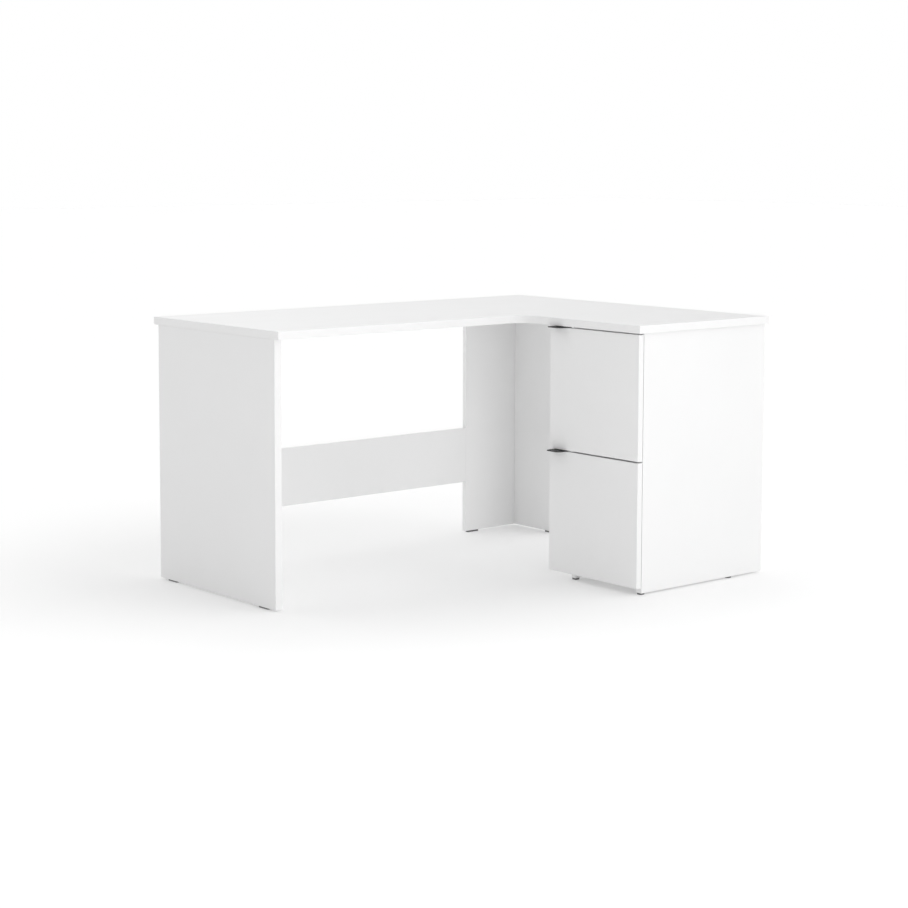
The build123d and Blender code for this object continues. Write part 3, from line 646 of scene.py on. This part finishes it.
def ease_edges(made, width, segments):
    """Rounds the edges that carry a bevel weight."""
    bevel = made.modifiers.new("Eased edges", "BEVEL")
    bevel.limit_method = "WEIGHT"
    bevel.width = width
    bevel.segments = segments
    bevel.harden_normals = True


def flat_face(corners):
    """A bmesh with one face in the XY plane; each corner is x, y and its radius and steps."""
    bm = bmesh.new()
    points = [bm.verts.new((corner[0], corner[1], 0)) for corner in corners]
    bm.faces.new(points)
    bm.normal_update()
    for point, corner in zip(points, corners):
        if len(corner) > 2:
            bmesh.ops.bevel(
                bm, geom=[point], offset=corner[2], segments=corner[3], profile=0.5,
                material=-1, affect="VERTICES",
            )
    return bm


def thicken(bm, amount):
    """Extrudes flat faces upwards into a closed slab."""
    raised = bmesh.ops.extrude_face_region(bm, geom=bm.faces[:])
    points = [part for part in raised["geom"] if isinstance(part, bmesh.types.BMVert)]
    bmesh.ops.translate(bm, vec=(0, 0, amount), verts=points)


def weigh(bm, weight_of):
    """Gives each edge the bevel weight that a function of the edge returns."""
    layer = bm.edges.layers.float.new("bevel_weight_edge")
    for edge in bm.edges:
        edge[layer] = weight_of(edge)


def is_flat(edge):
    """True for an edge that lies in a slab's top or bottom."""
    return abs(edge.verts[0].co.z - edge.verts[1].co.z) < SAME


def is_sharp(edge):
    """True where two faces meet at a corner."""
    return len(edge.link_faces) == 2 and edge.calc_face_angle(0.0) > SHARP_ANGLE


def banded_board(outer, inner, thickness, ease, seam):
    """The two bmeshes of a board: its core, and the edge band round it.

    outer and inner are the corners of the band's outer and inner outline.  Edge weights
    are shares of ease.
    """
    core = flat_face(inner)
    thicken(core, thickness)
    weigh(core, lambda edge: seam / ease if is_flat(edge) and is_sharp(edge) else 0.0)
    band = flat_face(outer)
    rim = {vert.co.to_tuple(6)[:2] for vert in band.verts}
    bmesh.ops.inset_region(
        band, faces=band.faces[:], thickness=abs(inner[0][0] - outer[0][0]),
        use_boundary=True, use_even_offset=True,
    )
    centre = [face for face in band.faces if not any(
        vert.co.to_tuple(6)[:2] in rim for vert in face.verts
    )]
    bmesh.ops.delete(band, geom=centre, context="FACES")
    thicken(band, thickness)

    def weight(edge):
        on_rim = [vert.co.to_tuple(6)[:2] in rim for vert in edge.verts]
        if is_flat(edge) and is_sharp(edge):
            return 1.0 if all(on_rim) else seam / ease
        return 0.5 if all(on_rim) and is_sharp(edge) else 0.0

    weigh(band, weight)
    return core, band


# ------------------------------------------------------------------ worktop
class DESK_OT_worktop(bpy.types.Operator):
    """Builds the L-shaped worktop and the edge band round it"""

    bl_idname = "desk.worktop"
    bl_label = "Worktop"

    def execute(self, context):
        shape = context.scene.desk_worktop
        low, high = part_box("top_edge_band")

        def outline(inset):
            inner_x = high.x - shape.return_depth + inset
            front_y = high.y - shape.main_depth + inset
            left, right, back, end = (
                low.x + inset, high.x - inset, high.y - inset, low.y + inset
            )
            radius = shape.corner_radius + inset
            return [
                (left, front_y), (left, back), (right, back), (right, end), (inner_x, end),
                (inner_x, front_y, radius, shape.corner_steps),
            ]

        core, band = banded_board(
            outline(0), outline(shape.band), high.z - low.z, shape.ease, shape.seam
        )
        finishes = context.scene.desk_finishes
        parts = (
            ("worktop", core, laminate_material("worktop_laminate", finishes.laminate),
             "worktop_laminate", "desk_top"),
            ("worktop_band", band, band_material("worktop_edge_band", (25, 25, 2500)),
             "edge_band", "top_edge_band"),
        )
        for name, bm, material, slot, node in parts:
            bmesh.ops.translate(bm, vec=(0, 0, low.z), verts=bm.verts[:])
            made = piece(name, bm, material, "desk", [node])
            ease_edges(made, shape.ease, 4)
        return {"FINISHED"}


# ------------------------------------------------------------------ boards
class DESK_OT_boards(bpy.types.Operator):
    """Finishes the side panel, the corner leg, the modesty panel and the cabinet"""

    bl_idname = "desk.boards"
    bl_label = "Boards"

    def execute(self, context):
        white = context.scene.desk_finishes.laminate
        for node, thin_axis in PANELS:
            material = board_material(f"panel_laminate_{node}", node, thin_axis, white)
            finish_node(node, material)
        band = band_material("side_edge_band", (2500, 2500, 25))
        finish_node("left_side_edge_band", band)
        finish_node("cabinet_back", thin_board_material())
        return {"FINISHED"}


# ------------------------------------------------------------------ drawers
# A front's outline is drawn with Y and Z as its x and y, and its thickness along X.
FRONT_TURN = Matrix(((0, 0, 1, 0), (1, 0, 0, 0), (0, 1, 0, 0), (0, 0, 0, 1)))


class DESK_OT_drawer_fronts(bpy.types.Operator):
    """Builds the two drawer fronts with their edge bands"""

    bl_idname = "desk.drawer_fronts"
    bl_label = "Drawer Fronts"

    def execute(self, context):
        shape = context.scene.desk_fronts
        finishes = context.scene.desk_finishes
        laminate = laminate_material("front_laminate", finishes.laminate)
        band_finish = band_material("front_edge_band", (2500, 60, 60))
        for level in LEVELS:
            node = f"{level}_drawer_front"
            low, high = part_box(node)

            def outline(inset):
                left, right, bottom, top = (
                    low.y + inset, high.y - inset, low.z + inset, high.z - inset
                )
                return [(left, bottom), (right, bottom), (right, top), (left, top)]

            core, band = banded_board(
                outline(0), outline(shape.band), high.x - low.x, shape.ease, shape.seam
            )
            parts = (
                ("board", core, laminate, "front_laminate"),
                ("band", band, band_finish, "edge_band"),
            )
            for part, bm, material, slot in parts:
                place = Matrix.Translation((low.x, 0, 0)) @ FRONT_TURN
                bmesh.ops.transform(bm, matrix=place, verts=bm.verts[:])
                body = f"{level}_drawer"
                made = piece(f"{level}_front_{part}", bm, material, body, [node])
                ease_edges(made, shape.ease, 3)
        return {"FINISHED"}


class DESK_OT_drawer_boxes(bpy.types.Operator):
    """Finishes the drawer boxes behind the fronts"""

    bl_idname = "desk.drawer_boxes"
    bl_label = "Drawer Boxes"

    def execute(self, context):
        white = context.scene.desk_finishes.box
        bottom = thin_board_material()
        for level in LEVELS:
            for part, thin_axis in BOX_BOARDS:
                node = f"{level}_drawer_{part}"
                material = board_material(f"box_laminate_{node}", node, thin_axis, white, 0.0006)
                finish_node(node, material)
            finish_node(f"{level}_drawer_bottom", bottom)
        return {"FINISHED"}


class DESK_OT_pulls(bpy.types.Operator):
    """Builds the black sheet-metal pulls that hook over the drawer fronts"""

    bl_idname = "desk.pulls"
    bl_label = "Drawer Pulls"

    def execute(self, context):
        shape = context.scene.desk_pulls
        rgb = context.scene.desk_finishes.metal
        material = grit_material("black_powder_coat", rgb, 0.5, 2600.0, 0.00006)
        for level in LEVELS:
            node = f"{level}_drawer_handle"
            low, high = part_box(node)
            bm = bmesh.new()
            sheet = shape.sheet
            section = [
                (low.x, high.z - sheet), (low.x, high.z), (high.x, high.z), (high.x, low.z),
                (high.x - sheet, low.z), (high.x - sheet, high.z - sheet),
            ]
            bm.faces.new([bm.verts.new((x, low.y, z)) for x, z in section])
            raised = bmesh.ops.extrude_face_region(bm, geom=bm.faces[:])
            points = [part for part in raised["geom"] if isinstance(part, bmesh.types.BMVert)]
            bmesh.ops.translate(bm, vec=(0, high.y - low.y, 0), verts=points)
            self.round_corners(bm, lambda a, b: max(a.x, b.x) < low.x + SAME, shape.lip_corner, 12)
            self.round_corners(bm, lambda a, b: max(a.z, b.z) < low.z + SAME, shape.tongue_corner, 6)
            bend = [edge for edge in bm.edges if all(
                abs(v.co.x - high.x) + abs(v.co.z - high.z) < SAME for v in edge.verts
            )]
            bmesh.ops.bevel(
                bm, geom=bend, offset=shape.bend, segments=6, profile=0.5, material=-1,
                affect="EDGES",
            )
            weigh(bm, lambda edge: 1.0 if is_sharp(edge) else 0.0)
            made = piece(f"{level}_pull", bm, material, f"{level}_drawer", [node])
            ease_edges(made, shape.ease, 2)
        return {"FINISHED"}

    def round_corners(self, bm, chosen, radius, steps):
        """Rounds the short edges through the sheet whose ends a test accepts."""
        short = [
            edge for edge in bm.edges
            if edge.calc_length() < THROUGH_SHEET and chosen(edge.verts[0].co, edge.verts[1].co)
        ]
        bmesh.ops.bevel(
            bm, geom=short, offset=radius, segments=steps, profile=0.5, material=-1, affect="EDGES"
        )


# ------------------------------------------------------------------ runners
# Ball rows: between which two sections they run, as the outer and the inner node's name.
BALL_ROWS = (("cabinet_rail", "middle_rail"), ("middle_rail", "drawer_rail"))
RUNNER_BODIES = {"cabinet_rail": "desk", "middle_rail": "{level}_middle_rails",
                 "drawer_rail": "{level}_drawer"}


class DESK_OT_runners(bpy.types.Operator):
    """Builds the ball-bearing runners, three rolled sections on each side of a drawer"""

    bl_idname = "desk.runners"
    bl_label = "Runners"

    def execute(self, context):
        finishes = context.scene.desk_finishes
        steel = plated_material("runner_steel", finishes.runner, 0.34, (30, 1800, 1800))
        for level in LEVELS:
            for side in SIDES:
                for part, body in RUNNER_BODIES.items():
                    self.section(context, level, side, part, body.format(level=level), steel)
        return {"FINISHED"}

    def section(self, context, level, side, part, body, steel):
        """One rolled section with its curled lips; the middle one carries the balls."""
        shape = context.scene.desk_runners
        node = f"{level}_{side}_{part}"
        low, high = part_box(node)
        wall_y = low.y if side == "right" else high.y
        towards_box = 1 if side == "right" else -1
        near, far = (0, high.y - low.y) if part != "drawer_rail" else (high.y - low.y, 0)
        lip = shape.lip if part != "drawer_rail" else 0.0
        half = (high.z - low.z) / 2
        middle = (high.z + low.z) / 2
        path = [(far, half), (near, half), (near, -half), (far, -half)]
        if lip:
            path = [(far, half - lip)] + path + [(far, lip - half)]
        bm = bmesh.new()
        points = [
            bm.verts.new((low.x, wall_y + towards_box * y, middle + z)) for y, z in path
        ]
        for first, second in zip(points, points[1:]):
            bm.edges.new((first, second))
        drawn = bmesh.ops.extrude_edge_only(bm, edges=bm.edges[:])
        ends = [item for item in drawn["geom"] if isinstance(item, bmesh.types.BMVert)]
        bmesh.ops.translate(bm, vec=(high.x - low.x, 0, 0), verts=ends)
        folds = [
            edge for edge in bm.edges
            if len(edge.link_faces) == 2 and edge.calc_length() > ALONG_RUNNER
        ]
        bmesh.ops.recalc_face_normals(bm, faces=bm.faces[:])
        bmesh.ops.bevel(
            bm, geom=folds, offset=min(shape.bend, 0.95 * lip) if lip else shape.bend, segments=4,
            profile=0.5, material=-1, affect="EDGES", clamp_overlap=True,
        )
        # The steel's outer face stays on the packed box, and its thickness goes inwards.
        inward = self.faces_inward(bm, Vector((0, (low.y + high.y) / 2, middle)))
        bmesh.ops.solidify(bm, geom=bm.faces[:], thickness=-shape.steel if inward else shape.steel)
        if part == "middle_rail":
            self.add_balls(bm, shape, level, side)
        made = piece(f"{level}_{side}_{part}_rolled", bm, steel, body, [node])
        return made

    def faces_inward(self, bm, centre):
        """True if the sheet's faces point at the middle of the section."""
        facing = sum((centre - face.calc_center_median()).dot(face.normal) * face.calc_area()
                     for face in bm.faces)
        return facing > 0

    def add_balls(self, bm, shape, level, side):
        """Rows of bearing balls above and below, between the sections they carry."""
        for outer, inner in BALL_ROWS:
            outer_low, outer_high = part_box(f"{level}_{side}_{outer}")
            inner_low, inner_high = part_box(f"{level}_{side}_{inner}")
            y = (max(outer_low.y, inner_low.y) + min(outer_high.y, inner_high.y)) / 2
            for z in (
                (outer_high.z - shape.steel + inner_high.z) / 2,
                (outer_low.z + shape.steel + inner_low.z) / 2,
            ):
                for count in range(shape.balls):
                    place = (inner_low.x + shape.first_ball + count * shape.pitch, y, z)
                    bmesh.ops.create_icosphere(
                        bm, subdivisions=2, radius=shape.ball, matrix=Matrix.Translation(place)
                    )


# ------------------------------------------------------------------ glides and fittings
class DESK_OT_glides(bpy.types.Operator):
    """Finishes the plastic glides under the panels"""

    bl_idname = "desk.glides"
    bl_label = "Glides"

    def execute(self, context):
        rgb = context.scene.desk_finishes.plastic
        material = grit_material("glide_plastic", rgb, 0.45, 1800.0, 0.00008)
        for node in ("panel_glides", "cabinet_glides"):
            finish_node(node, material)
        return {"FINISHED"}


class DESK_OT_fittings(bpy.types.Operator):
    """Finishes the cam locks, bolts, screws and dowels"""

    bl_idname = "desk.fittings"
    bl_label = "Fittings"

    def execute(self, context):
        finishes = context.scene.desk_finishes
        zinc = grit_material("cast_zinc", finishes.zinc, 0.42, 1500.0, 0.0001, metallic=1.0)
        screw = plated_material("zinc_steel", finishes.screw, 0.3, (1200, 1200, 1200))
        beech = beech_material()
        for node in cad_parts:
            if node.endswith("_cam_locks"):
                finish_node(node, zinc)
            elif node.endswith(("_screws", "_bolts")):
                finish_node(node, screw)
            elif node.endswith("_dowels"):
                finish_node(node, beech)
        return {"FINISHED"}


# ------------------------------------------------------------------ studio
class DESK_OT_studio(bpy.types.Operator):
    """Sets up the pale floor, the soft light and the camera"""

    bl_idname = "desk.studio"
    bl_label = "Studio"

    def execute(self, context):
        studio = context.scene.desk_studio
        self.add_floor(context, studio)
        self.add_light(context, studio)
        self.add_camera(context, studio)
        return {"FINISHED"}

    def add_floor(self, context, studio):
        """A large matt floor that glows. Round the desk its colour is darker, painted shade, and its glow
        is stronger, painted light that lightens the shadows under the panels; farther out it glows
        evenly.
        """
        material, graph, shader = principled("studio_floor", 0.9, specular=0.0)
        place = graph.place()
        cloud = graph.noise(place, 0.7, detail=2.0)
        away = graph.add(
            "ShaderNodeVectorMath", {0: place, 1: PAINTED_SHADE_CENTRE}, operation="DISTANCE"
        ).outputs["Value"]
        away = graph.math("ADD", away, graph.math("MULTIPLY", cloud, 0.05))
        # 0 round the desk, where shade and glow are painted on the floor, and 1 farther out.
        farness = graph.step(away, *studio.floor_fade)
        rgb = studio.floor_colour
        # Painted shade: a darker floor colour round the desk.
        near, far = solid(rgb, studio.floor_painted_shade), solid(rgb)
        graph.put(shader["Base Color"], graph.mix(farness, near, far))
        # Painted light: a stronger glow round the desk that lightens the shadows under the panels;
        # farther out the glow is even.
        near, far = ((glow,) * 3 + (1.0,) for glow in (studio.floor_painted_glow, studio.floor_far))
        graph.put(shader["Emission Color"], graph.mix(farness, near, far))
        shader["Emission Strength"].default_value = 1.0
        bm = bmesh.new()
        bmesh.ops.create_grid(bm, x_segments=2, y_segments=2, size=studio.floor_size / 2)
        mesh = bpy.data.meshes.new("studio_floor")
        bm.to_mesh(mesh)
        bm.free()
        mesh.materials.append(material)
        floor = bpy.data.objects.new("studio_floor", mesh)
        context.scene.collection.objects.link(floor)

    def add_light(self, context, studio):
        """Even light from all round, and soft boxes that shape the desk."""
        world = bpy.data.worlds.new("studio_world")
        world.use_nodes = True
        world.node_tree.nodes.clear()
        graph = Graph(world.node_tree)
        rays = graph.add("ShaderNodeLightPath")
        room = graph.add("ShaderNodeBackground", {"Color": (1, 1, 1, 1), "Strength": studio.ambient})
        seen = graph.add("ShaderNodeBackground", {"Color": (1, 1, 1, 1), "Strength": 1.0})
        both = graph.add("ShaderNodeMixShader", {
            0: rays.outputs["Is Camera Ray"], 1: room.outputs[0], 2: seen.outputs[0]
        })
        graph.add("ShaderNodeOutputWorld", {"Surface": both.outputs[0]})
        context.scene.world = world
        context.scene.view_settings.view_transform = "Standard"
        for name, azimuth, elevation, spread, strength in FAR_LIGHTS:
            turn, tilt = math.radians(azimuth), math.radians(elevation)
            out = Vector((
                math.sin(turn) * math.cos(tilt), -math.cos(turn) * math.cos(tilt), math.sin(tilt)
            ))
            lamp = bpy.data.lights.new(name, "SUN")
            lamp.angle = math.radians(spread)
            lamp.energy = strength
            self.hang(context, name, lamp, out, out * LIGHT_DISTANCE)
        box = bpy.data.lights.new("soft_box", "AREA")
        box.shape = "DISK"
        box.size = studio.soft_box_size
        box.energy = studio.soft_box_power
        place = Vector(studio.soft_box_place)
        hung = self.hang(context, "soft_box", box, place - DESK_MIDDLE, place)
        hung.visible_camera = False

    def hang(self, context, name, lamp, out, place):
        """Hangs a lamp in its place, shining opposite to the direction out."""
        hung = bpy.data.objects.new(name, lamp)
        hung.location = place
        hung.rotation_euler = out.to_track_quat("Z", "Y").to_euler()
        context.scene.collection.objects.link(hung)
        return hung

    def add_camera(self, context, studio):
        """The camera, a little above the worktop, on the desk's open side."""
        lens = bpy.data.cameras.new("camera")
        lens.lens = studio.lens
        lens.sensor_width = 36
        lens.shift_x, lens.shift_y = studio.shift
        camera = bpy.data.objects.new("camera", lens)
        aim = Euler((math.pi / 2 - studio.pitch, 0, -studio.yaw)).to_matrix()
        lean = Matrix.Rotation(studio.roll, 3, "Z")
        camera.rotation_euler = (aim @ lean).to_euler()
        camera.location = studio.camera_place
        context.scene.collection.objects.link(camera)
        context.scene.camera = camera


# ------------------------------------------------------------------ add-on
OPERATORS = (
    DESK_OT_studio,
    DESK_OT_worktop,
    DESK_OT_boards,
    DESK_OT_drawer_fronts,
    DESK_OT_drawer_boxes,
    DESK_OT_pulls,
    DESK_OT_runners,
    DESK_OT_glides,
    DESK_OT_fittings,
)


class DESK_PT_sidebar(bpy.types.Panel):
    """Lists the desk's pieces and their settings"""

    bl_idname = "DESK_PT_sidebar"
    bl_label = "Corner Desk"
    bl_space_type = "VIEW_3D"
    bl_region_type = "UI"
    bl_category = "Corner Desk"

    def draw(self, context):
        for operator in OPERATORS:
            self.layout.operator(operator.bl_idname)
        for name, settings in SETTINGS.items():
            box = self.layout.box()
            box.label(text=settings.__doc__)
            for key in settings.__annotations__:
                box.prop(getattr(context.scene, name), key)


CLASSES = tuple(SETTINGS.values()) + OPERATORS + (DESK_PT_sidebar,)


def register():
    """Registers the classes and hangs the settings on the scene."""
    for cls in CLASSES:
        bpy.utils.register_class(cls)
    for name, settings in SETTINGS.items():
        setattr(bpy.types.Scene, name, PointerProperty(type=settings))


def unregister():
    """Takes everything off again."""
    for name in SETTINGS:
        delattr(bpy.types.Scene, name)
    for cls in reversed(CLASSES):
        bpy.utils.unregister_class(cls)


def main():
    """Builds the whole scene."""
    register()
    for operator in OPERATORS:
        category, name = operator.bl_idname.split(".")
        getattr(getattr(bpy.ops, category), name)()


if __name__ == "__main__":
    main()
